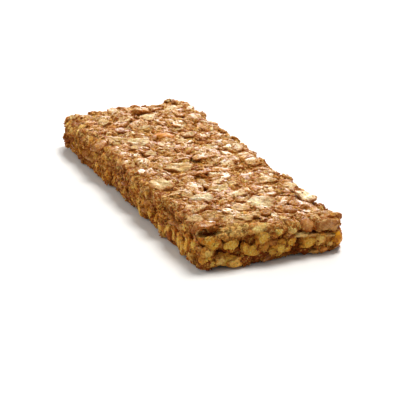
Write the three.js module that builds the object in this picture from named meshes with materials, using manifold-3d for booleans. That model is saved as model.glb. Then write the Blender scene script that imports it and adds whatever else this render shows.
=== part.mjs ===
// A baked granola bar: rolled oats, cereal crisps and a few fruit and nut bits, pressed into a slab
// with syrup, baked on a tray and cut. It is one solid: a core with the pieces that show fused on.
// Units are millimetres and +Z is up. The origin is the middle of the footprint, on the flat baked base.
// +X runs along the bar to its near end, -Y is its left side and +Y its right side.
import * as THREE from "three";
import { mergeVertices } from "three/addons/utils/BufferGeometryUtils.js";
import Module from "manifold-3d";

const wasm = await Module();
wasm.setup();

// Driving dimensions of the core. The fused pieces bring each side out by 0.5 to 1.5 mm more.
const LENGTH = 96.8;
const WIDTH = 35.6;
const THICKNESS = 9.3;

// The cut edges: the top rim is worn round, the base rim stays sharp.
const TOP_RIM = 1.3;
const BASE_RIM = 0.6;
const BELOW_BASE = 0.5; // the core runs this far below the base plane, where everything is trimmed flat

// Each corner of the core: how far it stands out from the plain rectangle along x and y, its radius in
// plan, and the slab's thickness there as a share of THICKNESS.
const CORNERS = {
  nearLeft: { x: 0.1, y: 0.2, radius: 1.2, rise: 1.02 },
  nearRight: { x: 0.1, y: -1.2, radius: 1.8, rise: 0.82 },
  farLeft: { x: 0.1, y: -0.2, radius: 1.4, rise: 0.92 },
  farRight: { x: 0.3, y: 0.7, radius: 6.5, rise: 1.01 },
};

// Lumps in the pressed mass: how far the core swells and sinks, and how wide the lumps are.
const LUMP = { top: 0.5, side: 0.7, wide: 7 };
const CORE_CELL = 3.3; // spacing of the core's grid

// Kinds of piece. Sizes are [shortest, longest] of a seeded draw.
const KINDS = {
  flake: { sides: 7, length: [5.4, 7.8], width: [4, 5.4], height: [1.2, 1.6] },
  crisp: { length: [4, 5.4], width: [2.9, 3.6], height: [2.7, 3.3] },
};

// How the pieces are spread on each face: the pitch along it and up or across it, how many of them are
// flakes, how far they lean, and how far they stand out.
const SPREAD = {
  top: { pitch: [6.1, 5.3], flakes: 0.9, lean: 14, proud: [0.45, 0.95], seed: 11 },
  left: { pitch: [5.6, 3.9], flakes: 0.5, lean: 28, proud: [0.5, 1], seed: 23 },
  right: { pitch: [5.6, 3.9], flakes: 0.5, lean: 28, proud: [0.5, 1], seed: 37 },
  near: { pitch: [5, 3.9], flakes: 0.35, lean: 28, proud: [0.5, 1], seed: 41 },
  far: { pitch: [5, 3.9], flakes: 0.35, lean: 28, proud: [0.5, 1], seed: 59 },
};
const RIM_MARGIN = 2.2; // the spread on the top starts this far in from the cut edges
const CLEAR = 0.62; // a spread piece keeps this share of a chosen piece's length away from it

// Pieces that stand out, each chosen by hand. at is x, y on the top and the coordinate along the face
// and the height on a cut face; turn is about the face's normal and lean tips the piece, in degrees.
const CHOSEN = [
  { face: "top", kind: "flake", at: [35.7, 2.8], size: [7, 5.8, 1.6], turn: 80, lean: -14, proud: 1 },
  { face: "top", kind: "flake", at: [40.4, 7.4], size: [8, 3.6, 1.7], turn: 57, lean: -8, proud: 1 },
  { face: "top", kind: "flake", at: [40.6, -11.8], size: [8, 4.6, 1.7], turn: 100, lean: -12, proud: 1.1 },
  { face: "top", kind: "flake", at: [30.4, -10.3], size: [7.6, 4.4, 1.6], turn: 96, lean: -14, proud: 1 },
  { face: "top", kind: "flake", at: [17.2, -15], size: [7, 5, 1.6], turn: 20, lean: 12, proud: 1.1 },
  { face: "top", kind: "flake", at: [5, -5.3], size: [7, 5.4, 1.6], turn: 70, lean: -12, proud: 1 },
  { face: "top", kind: "crisp", at: [11, 3.6], size: [6, 3.6, 3], turn: 62, lean: 0, proud: 1.1 },
  { face: "top", kind: "crisp", at: [-19.8, 0.6], size: [6.2, 4.2, 3], turn: 76, lean: 0, proud: 1.3 },
  { face: "top", kind: "crisp", at: [-14.3, 8.8], size: [3.8, 3.4, 3], turn: 30, lean: 0, proud: 1.2 },
  { face: "top", kind: "flake", at: [-17, -7.3], size: [7.4, 5.2, 1.6], turn: 70, lean: -10, proud: 1 },
  { face: "top", kind: "flake", at: [34.8, 15.6], size: [6.4, 4.2, 1.5], turn: 10, lean: 16, proud: 1.2 },
  { face: "top", kind: "flake", at: [45.8, 15.6], size: [7.2, 4.2, 2.4], turn: 86, lean: 0, proud: 0.5 },
  { face: "near", kind: "crisp", at: [8.9, 8.2], size: [3.6, 3.3, 3.3], turn: 0, lean: 0, proud: 1.3 },
  { face: "near", kind: "crisp", at: [16.6, 3.4], size: [3.6, 3.4, 3.4], turn: 80, lean: 0, proud: 1 },
  { face: "near", kind: "crisp", at: [-14.8, 6], size: [3.5, 3.2, 3.3], turn: 20, lean: 0, proud: 1.4 },
  { face: "near", kind: "crisp", at: [-10.7, 5.6], size: [3.5, 3.2, 3.3], turn: 50, lean: 0, proud: 1.3 },
  { face: "near", kind: "crisp", at: [-9.6, 8.2], size: [7.2, 3.4, 3.4], turn: 8, lean: 0, proud: 0.9 },
  { face: "near", kind: "crisp", at: [-2.9, 6.4], size: [3.4, 3.1, 3.3], turn: 10, lean: 0, proud: 1.3 },
  { face: "near", kind: "crisp", at: [0.4, 8.2], size: [5.6, 3.1, 3.1], turn: -6, lean: 0, proud: 0.9 },
  { face: "near", kind: "crisp", at: [1.6, 3.2], size: [3.8, 3.4, 3.3], turn: 70, lean: 0, proud: 1.3 },
  { face: "near", kind: "crisp", at: [4.6, 4.4], size: [3.7, 2.9, 3], turn: 60, lean: 0, proud: 1 },
  { face: "near", kind: "crisp", at: [9.8, 3.4], size: [5.2, 3.2, 3.1], turn: 12, lean: 0, proud: 1.1 },
  { face: "near", kind: "crisp", at: [-16.4, 3.4], size: [3.6, 3.2, 3.1], turn: 80, lean: 0, proud: 1.1 },
  { face: "near", kind: "crisp", at: [-11.6, 1.8], size: [5.8, 3, 3], turn: -6, lean: 0, proud: 1 },
  { face: "right", kind: "crisp", at: [45.6, 2.6], size: [4.4, 3.6, 3.4], turn: 84, lean: 0, proud: 1.5 },
  { face: "left", kind: "crisp", at: [35.4, 2.4], size: [4.4, 3.1, 3.1], turn: 82, lean: 0, proud: 1.3 },
  { face: "left", kind: "crisp", at: [40.6, 4], size: [4.6, 3.1, 3.1], turn: 78, lean: 0, proud: 1.2 },
];

// Deep gaps between the pieces on the cut faces: where, and their size along the face, up and inwards.
const GAPS = [
  { face: "near", at: [-15, 8.6], size: [5, 1.1, 3.2] },
  { face: "near", at: [-7.8, 5.2], size: [2.4, 1.6, 3] },
  { face: "near", at: [-1.6, 3.6], size: [2.8, 1.5, 3] },
  { face: "near", at: [6.6, 4.6], size: [1.9, 2.8, 3] },
  { face: "left", at: [30, 5.2], size: [1.9, 3.8, 2.8] },
  { face: "left", at: [15.5, 4.4], size: [2, 4, 2.8] },
  { face: "left", at: [-11.2, 6.6], size: [3.2, 2.2, 2.6] },
  { face: "left", at: [-33, 4.4], size: [2.4, 2.8, 2.6] },
  { face: "right", at: [27, 5], size: [3.4, 2, 2.8] },
  { face: "right", at: [-8, 4.2], size: [2.2, 3.2, 2.8] },
  { face: "right", at: [-29, 5.6], size: [3, 1.8, 2.6] },
  { face: "far", at: [-7, 5], size: [3, 1.8, 2.8] },
  { face: "far", at: [8.5, 4], size: [2, 2.6, 2.8] },
];

const HALF = { x: LENGTH / 2, y: WIDTH / 2 };

// The five faces that show: which way each looks, and the point of the plain box at (along, up).
const FACES = {
  top: { normal: [0, 0, 1], point: (a, b) => [a, b, THICKNESS], reach: [HALF.x, -HALF.y, HALF.y] },
  left: { normal: [0, -1, 0], point: (a, b) => [a, -HALF.y, b], reach: [HALF.x, 0, THICKNESS] },
  right: { normal: [0, 1, 0], point: (a, b) => [a, HALF.y, b], reach: [HALF.x, 0, THICKNESS] },
  near: { normal: [1, 0, 0], point: (a, b) => [HALF.x, a, b], reach: [HALF.y, 0, THICKNESS] },
  far: { normal: [-1, 0, 0], point: (a, b) => [-HALF.x, a, b], reach: [HALF.y, 0, THICKNESS] },
};

// A seeded draw from 0 to 1.
function seededDraw(seed) {
  let state = seed;
  return () => {
    state = (Math.imul(state, 1664525) + 1013904223) >>> 0;
    return state / 4294967296;
  };
}

const between = ([low, high], share) => low + (high - low) * share;
const clamp = (value, low, high) => Math.min(high, Math.max(low, value));
const degrees = (angle) => (angle * Math.PI) / 180;

// Smooth noise from -1 to 1 that changes over one unit.
function noise(x, y, z) {
  const [i, j, k] = [x, y, z].map(Math.floor);
  const [u, v, w] = [x - i, y - j, z - k].map((t) => t * t * (3 - 2 * t));
  const corner = (a, b, c) => {
    const s = Math.sin((i + a) * 127.1 + (j + b) * 311.7 + (k + c) * 74.7) * 43758.5453;
    return s - Math.floor(s);
  };
  const mix = (a, b, t) => a + (b - a) * t;
  const along = (b, c) => mix(corner(0, b, c), corner(1, b, c), u);
  return 2 * mix(mix(along(0, 0), along(1, 0), v), mix(along(0, 1), along(1, 1), v), w) - 1;
}

// A value of the four corners, mixed for the place (x, y) in plan.
function cornerMix(x, y, key) {
  const s = clamp(0.5 + x / LENGTH, 0, 1);
  const t = clamp(0.5 + y / WIDTH, 0, 1);
  const near = CORNERS.nearLeft[key] * (1 - t) + CORNERS.nearRight[key] * t;
  const far = CORNERS.farLeft[key] * (1 - t) + CORNERS.farRight[key] * t;
  return near * s + far * (1 - s);
}

function cornerRadius(x, y) {
  const end = x > 0 ? "near" : "far";
  return CORNERS[end + (y > 0 ? "Right" : "Left")].radius;
}

// Rounds the corner of a square cell of the given radius into a quarter disc.
function roundOff(a, b, halfA, halfB, radius) {
  const da = Math.max(Math.abs(a) - (halfA - radius), 0);
  const db = Math.max(Math.abs(b) - (halfB - radius), 0);
  if (da === 0 || db === 0) return [a, b];
  const scale = Math.max(da, db) / Math.hypot(da, db);
  return [
    Math.sign(a) * (halfA - radius + da * scale),
    Math.sign(b) * (halfB - radius + db * scale),
  ];
}

// Takes a point on the plain box to its place on the lumpy, uneven core.
function coreSurface([px, py, pz]) {
  const middle = THICKNESS / 2;
  const rim = pz > middle ? TOP_RIM : BASE_RIM;
  const up = pz - middle;
  let [x, upX] = roundOff(px, up, HALF.x, middle, rim);
  let [y, upY] = roundOff(py, up, HALF.y, middle, rim);
  let z = middle + (Math.abs(upX) < Math.abs(upY) ? upX : upY);
  [x, y] = roundOff(x, y, HALF.x, HALF.y, cornerRadius(px, py));
  const sideways = new THREE.Vector2(
    Math.max(Math.abs(px) - HALF.x + TOP_RIM, 0) * Math.sign(px),
    Math.max(Math.abs(py) - HALF.y + TOP_RIM, 0) * Math.sign(py),
  ).normalize();
  const swell = noise(x / LUMP.wide, y / LUMP.wide, z / LUMP.wide + 3);
  x += cornerMix(px, py, "x") * Math.sign(px) + sideways.x * swell * LUMP.side;
  y += cornerMix(px, py, "y") + sideways.y * swell * LUMP.side;
  const height = clamp(z / THICKNESS, 0, 1);
  z = z * (1 + (cornerMix(px, py, "rise") - 1) * height);
  z += LUMP.top * height * height * noise(x / LUMP.wide, y / LUMP.wide, 9.5);
  return new THREE.Vector3(x, y, z);
}

// Where a face's point (along, up) lies on the core, and the outward normal there.
function facePoint(face, a, b) {
  const step = 0.6;
  const { point, normal } = FACES[face];
  const at = coreSurface(point(a, b));
  const across = coreSurface(point(a + step, b)).sub(coreSurface(point(a - step, b)));
  const upward = coreSurface(point(a, b + step)).sub(coreSurface(point(a, b - step)));
  const out = across.cross(upward).normalize();
  if (out.dot(new THREE.Vector3(...normal)) < 0) out.negate();
  return { at, out };
}

// Drops everything but the positions and joins the vertices that meet.
function closed(geometry) {
  geometry.deleteAttribute("normal");
  geometry.deleteAttribute("uv");
  return mergeVertices(geometry, 1e-3);
}

function moveVertices(geometry, move) {
  const position = geometry.getAttribute("position");
  const p = new THREE.Vector3();
  for (let i = 0; i < position.count; i++) {
    p.fromBufferAttribute(position, i);
    move(p);
    position.setXYZ(i, p.x, p.y, p.z);
  }
  return geometry;
}

// The core: a box grid taken to the lumpy slab.
function makeCore() {
  const cells = [LENGTH, WIDTH, THICKNESS].map((size) => Math.round(size / CORE_CELL));
  const box = closed(new THREE.BoxGeometry(LENGTH, WIDTH, THICKNESS, ...cells));
  return moveVertices(box, (p) => {
    const onBase = p.z < -THICKNESS / 2 + 1e-3;
    p.copy(coreSurface([p.x, p.y, p.z + THICKNESS / 2]));
    if (onBase) p.z = -BELOW_BASE;
  });
}

// A pressed oat flake: an uneven oval disc with a crowned rim, a little dished and bent.
function makeFlake([length, width, height], draw) {
  const profile = [
    [0, -0.5],
    [1, -0.12],
    [0.7, 0.5],
    [0, 0.36],
  ].map(([r, z]) => new THREE.Vector2(r, z));
  const disc = closed(new THREE.LatheGeometry(profile, KINDS.flake.sides).rotateX(Math.PI / 2));
  const phase = draw() * 2 * Math.PI;
  const bend = 0.12 * (draw() - 0.5) * length;
  return moveVertices(disc, (p) => {
    const angle = Math.atan2(p.y, p.x);
    const edge = 1 + 0.09 * Math.sin(2 * angle + phase) + 0.07 * Math.sin(3 * angle - phase);
    const bent = bend * (p.x * p.x - 0.4);
    p.set((p.x * edge * length) / 2, (p.y * edge * width) / 2, p.z * height + bent);
  });
}

// A puffed cereal crisp: an uneven lump.
function makeCrisp([length, width, height], draw) {
  const lump = closed(new THREE.IcosahedronGeometry(0.5, 0));
  return moveVertices(lump, (p) => {
    const swell = 1.04 + 0.16 * (draw() - 0.5);
    p.set(p.x * swell * length, p.y * swell * width, p.z * swell * height);
  });
}

const MAKERS = { flake: makeFlake, crisp: makeCrisp };

// Stands a piece on a face. On the top a piece lies flat; on a cut face a flake is seen edge on, because
// the flakes lie flat in the slab, and a crisp lies along the face.
function place(piece, face, kind, { at, turn, lean, proud, size }) {
  const spot = facePoint(face, ...at);
  const flat = face === "top" || kind === "crisp";
  const out = spot.out;
  const level = new THREE.Vector3(0, 0, 1);
  const along =
    face === "top" ? new THREE.Vector3(1, 0, 0) : new THREE.Vector3().crossVectors(level, out);
  along.addScaledVector(out, -along.dot(out)).normalize();
  const across = new THREE.Vector3().crossVectors(out, along);
  const basis = new THREE.Matrix4();
  if (flat) basis.makeBasis(along, across, out);
  else basis.makeBasis(along, out.clone().negate(), across);
  basis.multiply(new THREE.Matrix4().makeRotationZ(flat ? degrees(turn) : degrees(turn) * 0.12));
  basis.multiply(new THREE.Matrix4().makeRotationX(degrees(lean)));
  const half = flat ? size[2] / 2 : size[1] / 2;
  basis.setPosition(spot.at.clone().addScaledVector(out, proud - half));
  return piece.applyMatrix4(basis);
}

function makePiece(face, kind, spec, draw) {
  return place(MAKERS[kind](spec.size, draw), face, kind, spec);
}

// The pieces spread over one face by a jittered grid, clear of the chosen ones.
function spreadPieces(face) {
  const { pitch, flakes, lean, proud, seed } = SPREAD[face];
  const draw = seededDraw(seed);
  const [reach, low, high] = FACES[face].reach;
  const margin = face === "top" ? RIM_MARGIN : 1;
  const columns = Math.round((2 * (reach - margin)) / pitch[0]);
  const rows = Math.round((high - low - 2 * margin) / pitch[1]);
  const chosen = CHOSEN.filter((c) => c.face === face);
  const pieces = [];
  for (let i = 0; i < columns; i++) {
    for (let j = 0; j < rows; j++) {
      const shift = (j % 2) * 0.5 - 0.25;
      const a = -reach + margin + ((i + 0.5 + shift + 0.5 * (draw() - 0.5)) / columns) * 2 * (reach - margin);
      const b = low + margin + ((j + 0.5 + 0.5 * (draw() - 0.5)) / rows) * (high - low - 2 * margin);
      const kind = draw() < flakes ? "flake" : "crisp";
      const { length, width, height } = KINDS[kind];
      const size = [between(length, draw()), between(width, draw()), between(height, draw())];
      const spec = {
        at: [a, b],
        size,
        turn: 360 * draw(),
        lean: lean * (2 * draw() - 1),
        proud: between(proud, draw()),
      };
      const crowded = chosen.some(
        (c) => Math.hypot(c.at[0] - a, c.at[1] - b) < CLEAR * c.size[0],
      );
      if (!crowded) pieces.push(makePiece(face, kind, spec, draw));
    }
  }
  return pieces;
}

function chosenPieces() {
  const draw = seededDraw(71);
  return CHOSEN.map((c) => makePiece(c.face, c.kind, c, draw));
}

// The deep gaps, as lumps to cut away.
function makeGap({ face, at, size: [wide, tall, deep] }) {
  const spot = facePoint(face, ...at);
  const gap = closed(new THREE.IcosahedronGeometry(0.5, 0)).scale(wide, tall, deep);
  const level = new THREE.Vector3(0, 0, 1);
  const along = new THREE.Vector3().crossVectors(level, spot.out).normalize();
  const across = new THREE.Vector3().crossVectors(spot.out, along);
  return gap.applyMatrix4(new THREE.Matrix4().makeBasis(along, across, spot.out).setPosition(spot.at));
}

function toSolid(geometry) {
  const vertProperties = new Float32Array(geometry.getAttribute("position").array);
  const triVerts = new Uint32Array(geometry.index.array);
  return new wasm.Manifold(new wasm.Mesh({ numProp: 3, vertProperties, triVerts }));
}

function toGeometry(solid) {
  const mesh = solid.getMesh();
  const geometry = new THREE.BufferGeometry();
  geometry.setAttribute("position", new THREE.BufferAttribute(mesh.vertProperties, 3));
  geometry.setIndex(new THREE.BufferAttribute(mesh.triVerts, 1));
  return geometry;
}

// Everything below the base plane, to trim the bar flat.
function makeTray() {
  const deep = 10;
  return closed(new THREE.BoxGeometry(LENGTH * 2, WIDTH * 2, deep).translate(0, 0, -deep / 2));
}

function makeBar() {
  const gaps = GAPS.map(makeGap).map(toSolid);
  const pieces = [...Object.keys(FACES).flatMap(spreadPieces), ...chosenPieces()].map(toSolid);
  let bar = toSolid(makeCore());
  for (const gap of gaps) bar = bar.subtract(gap);
  for (const piece of pieces) bar = bar.add(piece);
  bar = bar.subtract(toSolid(makeTray()));
  const largest = bar.decompose().reduce((a, b) => (a.volume() > b.volume() ? a : b));
  return toGeometry(largest);
}

const bar = new THREE.Mesh(
  makeBar(),
  new THREE.MeshStandardMaterial({ color: 0xb07a42, roughness: 0.55, metalness: 0 }),
);
bar.name = "bar";

const granolaBar = new THREE.Group();
granolaBar.add(bar);
export default granolaBar;
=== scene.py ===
import math
from itertools import product

import bmesh
import bpy
import numpy as np
from mathutils import Matrix, Quaternion, Vector


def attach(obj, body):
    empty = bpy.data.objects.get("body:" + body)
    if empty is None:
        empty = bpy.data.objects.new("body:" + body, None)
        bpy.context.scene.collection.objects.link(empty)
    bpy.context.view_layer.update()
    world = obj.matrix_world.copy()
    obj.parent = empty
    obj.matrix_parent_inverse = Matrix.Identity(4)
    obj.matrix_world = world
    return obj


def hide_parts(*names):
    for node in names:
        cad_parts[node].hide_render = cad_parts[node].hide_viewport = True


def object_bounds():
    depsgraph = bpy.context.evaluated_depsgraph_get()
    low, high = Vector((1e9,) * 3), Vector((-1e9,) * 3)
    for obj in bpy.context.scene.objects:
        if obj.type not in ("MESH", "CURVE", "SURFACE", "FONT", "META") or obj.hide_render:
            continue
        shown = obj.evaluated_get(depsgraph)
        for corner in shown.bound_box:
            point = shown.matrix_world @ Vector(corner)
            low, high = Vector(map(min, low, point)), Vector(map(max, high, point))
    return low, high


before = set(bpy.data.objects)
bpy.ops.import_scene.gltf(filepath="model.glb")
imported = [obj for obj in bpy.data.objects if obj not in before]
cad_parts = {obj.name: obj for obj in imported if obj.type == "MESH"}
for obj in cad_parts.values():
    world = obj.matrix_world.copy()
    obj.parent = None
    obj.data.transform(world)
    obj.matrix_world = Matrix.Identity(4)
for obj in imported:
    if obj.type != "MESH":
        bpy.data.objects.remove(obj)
cadLow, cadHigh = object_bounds()

mm = 0.001  # everything is modelled in millimetres and brought to metres when a piece is finished

camera = {
    "place": (320.03, -133.19, 125.51),  # mm from the middle of the base
    "azimuth": 66.7,
    "elevation": 20.5,
    "roll": 0.1,
    "focalPixels": 1450,
    "framePixels": 416,
    "sensor": 36,
    "clip": (0.05, 20),
}


def makeCamera():
    data = bpy.data.cameras.new("camera")
    data.sensor_width = camera["sensor"]
    data.lens = camera["focalPixels"] / camera["framePixels"] * camera["sensor"]
    data.clip_start, data.clip_end = camera["clip"]
    azimuth = math.radians(camera["azimuth"])
    elevation = math.radians(camera["elevation"])
    back = Vector((
        math.sin(azimuth) * math.cos(elevation),
        -math.cos(azimuth) * math.cos(elevation),
        math.sin(elevation),
    ))
    turn = (-back).to_track_quat("-Z", "Y") @ Quaternion((0, 0, 1), math.radians(camera["roll"]))
    made = bpy.data.objects.new("camera", data)
    made.matrix_world = Matrix.Translation(Vector(camera["place"]) * mm) @ turn.to_matrix().to_4x4()
    bpy.context.scene.collection.objects.link(made)
    bpy.context.scene.camera = made


light = {
    "sky": 0.37,
    "skyTint": (1.0, 0.985, 0.96),
    "key": {"place": (-60, 190, 540), "size": 260, "power": 3.5, "tint": (1, 0.995, 0.98)},
    "back": {"place": (-560, 300, 230), "size": 360, "power": 3.2, "tint": (1, 1, 1)},
    "fill": {"place": (-160, -560, 300), "size": 400, "power": 1.25, "tint": (0.95, 1, 0.97)},
    "floor": (0.8, 0.79, 0.77),
    "floorRoughness": 0.8,
    "floorReach": 6000,
}


def makeLamp(name, place, size, power, tint):
    data = bpy.data.lights.new(name, "AREA")
    data.shape = "DISK"
    data.size = size * mm
    data.energy = power
    data.color = tint
    made = bpy.data.objects.new(name, data)
    place = Vector(place) * mm
    made.matrix_world = Matrix.Translation(place) @ place.to_track_quat("Z", "Y").to_matrix().to_4x4()
    bpy.context.scene.collection.objects.link(made)


def makeStudio():
    world = bpy.data.worlds.new("studio")
    world.use_nodes = True
    sky = world.node_tree.nodes["Background"]
    sky.inputs["Color"].default_value = (*light["skyTint"], 1)
    sky.inputs["Strength"].default_value = light["sky"]
    bpy.context.scene.world = world
    makeLamp("keyLamp", **light["key"])
    makeLamp("backLamp", **light["back"])
    makeLamp("fillLamp", **light["fill"])
    bm = bmesh.new()
    bmesh.ops.create_grid(bm, x_segments=1, y_segments=1, size=light["floorReach"] / 2 * mm)
    mesh = bpy.data.meshes.new("floor")
    bm.to_mesh(mesh)
    bm.free()
    floor = bpy.data.objects.new("floor", mesh)
    bpy.context.scene.collection.objects.link(floor)
    finish = bpy.data.materials.new("floorFinish")
    finish.use_nodes = True
    shader = finish.node_tree.nodes["Principled BSDF"]
    shader.inputs["Base Color"].default_value = (*light["floor"], 1)
    shader.inputs["Roughness"].default_value = light["floorRoughness"]
    mesh.materials.append(finish)
    bpy.context.scene.view_settings.view_transform = "Standard"


# The slab's form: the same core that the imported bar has.
slab = {
    "length": 96.8,
    "width": 35.6,
    "thickness": 9.3,
    "topRim": 1.3,
    "baseRim": 0.6,
    "corners": {
        "nearLeft": {"x": 0.1, "y": 0.2, "radius": 1.2, "rise": 1.02},
        "nearRight": {"x": 0.1, "y": -1.2, "radius": 1.8, "rise": 0.82},
        "farLeft": {"x": 0.1, "y": -0.2, "radius": 1.4, "rise": 0.92},
        "farRight": {"x": 0.3, "y": 0.7, "radius": 6.5, "rise": 1.01},
    },
    "lump": {"top": 0.5, "side": 0.7, "wide": 7},
}
thickness = slab["thickness"]
halfX = slab["length"] / 2
halfY = slab["width"] / 2
halfZ = thickness / 2
baseGap = 0.02  # how far the lowest pieces stay above the floor


def between(limits, share):
    low, high = limits
    return low + (high - low) * share


latticeSpread = (127.1, 311.7, 74.7)
latticeScale = 43758.5453


# A fixed random value from 0 to 1 for each cell of a unit lattice.
def lattice(cell, shift):
    s = np.sin((cell + shift) @ np.array(latticeSpread)) * latticeScale
    return s - np.floor(s)


# Smooth noise from -1 to 1 that changes over one unit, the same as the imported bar's.
def slabNoise(points):
    cell = np.floor(points)
    t = points - cell
    u, v, w = (t * t * (3 - 2 * t)).T
    total = np.zeros(len(points))
    for a, b, c in product((0, 1), repeat=3):
        share = (u if a else 1 - u) * (v if b else 1 - v) * (w if c else 1 - w)
        total += share * lattice(cell, (a, b, c))
    return 2 * total - 1


# Crumb-like cells, one to a unit: the distance to the nearest cell's middle, and that cell's own value.
def crumbNoise(points):
    cell = np.floor(points)
    nearest = np.full(len(points), 9.0)
    owner = np.zeros(len(points))
    for offset in product((-1, 0, 1), repeat=3):
        home = cell + offset
        spot = home + np.stack([lattice(home, (s, s * 3, s * 7)) for s in (0.31, 0.73, 0.57)], axis=1)
        distance = np.linalg.norm(spot - points, axis=1)
        closer = distance < nearest
        nearest = np.where(closer, distance, nearest)
        owner = np.where(closer, lattice(home, (0.53, 0.29, 0.71)), owner)
    return nearest, owner


def cornerMix(x, y, key):
    s = np.clip(0.5 + x / slab["length"], 0, 1)
    t = np.clip(0.5 + y / slab["width"], 0, 1)
    corners = slab["corners"]
    near = corners["nearLeft"][key] * (1 - t) + corners["nearRight"][key] * t
    far = corners["farLeft"][key] * (1 - t) + corners["farRight"][key] * t
    return near * s + far * (1 - s)


def cornerRadius(x, y):
    corners = slab["corners"]
    near = np.where(y > 0, corners["nearRight"]["radius"], corners["nearLeft"]["radius"])
    far = np.where(y > 0, corners["farRight"]["radius"], corners["farLeft"]["radius"])
    return np.where(x > 0, near, far)


# Rounds the corner of a square cell of the given radius into a quarter disc.
def roundOff(a, b, halfA, halfB, radius):
    da = np.maximum(np.abs(a) - (halfA - radius), 0)
    db = np.maximum(np.abs(b) - (halfB - radius), 0)
    cornered = (da > 0) & (db > 0)
    scale = np.maximum(da, db) / np.maximum(np.hypot(da, db), 1e-9)
    return (
        np.where(cornered, np.sign(a) * (halfA - radius + da * scale), a),
        np.where(cornered, np.sign(b) * (halfB - radius + db * scale), b),
    )


# Takes points on the plain box to their places on the lumpy, uneven slab.
def slabSurface(points):
    px, py, pz = np.asarray(points, float).T
    rim = np.where(pz > halfZ, slab["topRim"], slab["baseRim"])
    up = pz - halfZ
    x, upX = roundOff(px, up, halfX, halfZ, rim)
    y, upY = roundOff(py, up, halfY, halfZ, rim)
    z = halfZ + np.where(np.abs(upX) < np.abs(upY), upX, upY)
    x, y = roundOff(x, y, halfX, halfY, cornerRadius(px, py))
    sideX = np.maximum(np.abs(px) - halfX + slab["topRim"], 0) * np.sign(px)
    sideY = np.maximum(np.abs(py) - halfY + slab["topRim"], 0) * np.sign(py)
    side = np.maximum(np.hypot(sideX, sideY), 1e-9)
    lump = slab["lump"]
    swell = slabNoise(np.stack((x, y, z + 3 * lump["wide"]), axis=1) / lump["wide"]) * lump["side"]
    x = x + cornerMix(px, py, "x") * np.sign(px) + sideX / side * swell
    y = y + cornerMix(px, py, "y") + sideY / side * swell
    height = np.clip(z / thickness, 0, 1)
    z = z * (1 + (cornerMix(px, py, "rise") - 1) * height)
    flat = np.stack((x / lump["wide"], y / lump["wide"], np.full(len(x), 9.5)), axis=1)
    z = z + lump["top"] * height * height * slabNoise(flat)
    return np.stack((x, y, z), axis=1)


# The six faces: which way each looks, the point of the plain box at (along, up), and how far it reaches.
faces = {
    "top": {"normal": (0, 0, 1), "point": lambda a, b: (a, b, thickness), "reach": (halfX, -halfY, halfY)},
    "left": {"normal": (0, -1, 0), "point": lambda a, b: (a, -halfY, b), "reach": (halfX, 0, thickness)},
    "right": {"normal": (0, 1, 0), "point": lambda a, b: (a, halfY, b), "reach": (halfX, 0, thickness)},
    "near": {"normal": (1, 0, 0), "point": lambda a, b: (halfX, a, b), "reach": (halfY, 0, thickness)},
    "far": {"normal": (-1, 0, 0), "point": lambda a, b: (-halfX, a, b), "reach": (halfY, 0, thickness)},
    "base": {"normal": (0, 0, -1), "point": lambda a, b: (a, b, 0), "reach": (halfX, -halfY, halfY)},
}
cutFaces = ("left", "right", "near", "far")


# Rows of values grouped by face, as a dictionary for each row.
def byFace(keys, groups):
    return [{"face": face, **dict(zip(keys, row))} for face, rows in groups.items() for row in rows]


# Where a face's points (along, up) lie on the slab, and the frame there: along, across and outwards.
def faceFrames(face, a, b, step=0.6):
    a, b = np.broadcast_arrays(np.asarray(a, float), np.asarray(b, float))

    def surface(da, db):
        point = faces[face]["point"](a + da, b + db)
        return slabSurface(np.stack(np.broadcast_arrays(*point), axis=-1).reshape(-1, 3))

    at = surface(0, 0)
    out = np.cross(surface(step, 0) - surface(-step, 0), surface(0, step) - surface(0, -step))
    out /= np.linalg.norm(out, axis=1)[:, None]
    out *= np.sign(out @ np.array(faces[face]["normal"]))[:, None]
    if face in ("top", "base"):
        along = np.tile((1.0, 0, 0), (len(at), 1))
    else:
        along = np.cross((0, 0, 1), out)
    along = along - out * np.sum(along * out, axis=1)[:, None]
    along /= np.linalg.norm(along, axis=1)[:, None]
    return at, np.stack((along, np.cross(out, along), out), axis=2)


# Deep gaps between the pieces on the cut faces: where, and their size along the face, up and inwards.
gapKeys = ("at", "size")
gaps = byFace(gapKeys, {
    "near": (
        ((-15, 8.6), (5, 1.1, 3.2)),
        ((-7.8, 5.2), (2.4, 1.6, 3)),
        ((-1.6, 3.6), (2.8, 1.5, 3)),
        ((6.6, 4.6), (1.9, 2.8, 3)),
    ),
    "left": (
        ((30, 5.2), (1.9, 3.8, 2.8)),
        ((15.5, 4.4), (2, 4, 2.8)),
        ((-11.2, 6.6), (3.2, 2.2, 2.6)),
        ((-33, 4.4), (2.4, 2.8, 2.6)),
    ),
    "right": (
        ((27, 5), (3.4, 2, 2.8)),
        ((-8, 4.2), (2.2, 3.2, 2.8)),
        ((-29, 5.6), (3, 1.8, 2.6)),
    ),
    "far": (
        ((-7, 5), (3, 1.8, 2.8)),
        ((8.5, 4), (2, 2.6, 2.8)),
    ),
})

# The notch under the top layer of flakes, which cuts into the pieces as well.
notches = byFace(gapKeys, {"near": (((-17, 8.7), (7.6, 1.8, 5)),)})
notchDepth = {"reach": 1, "kept": 0.15}

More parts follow.
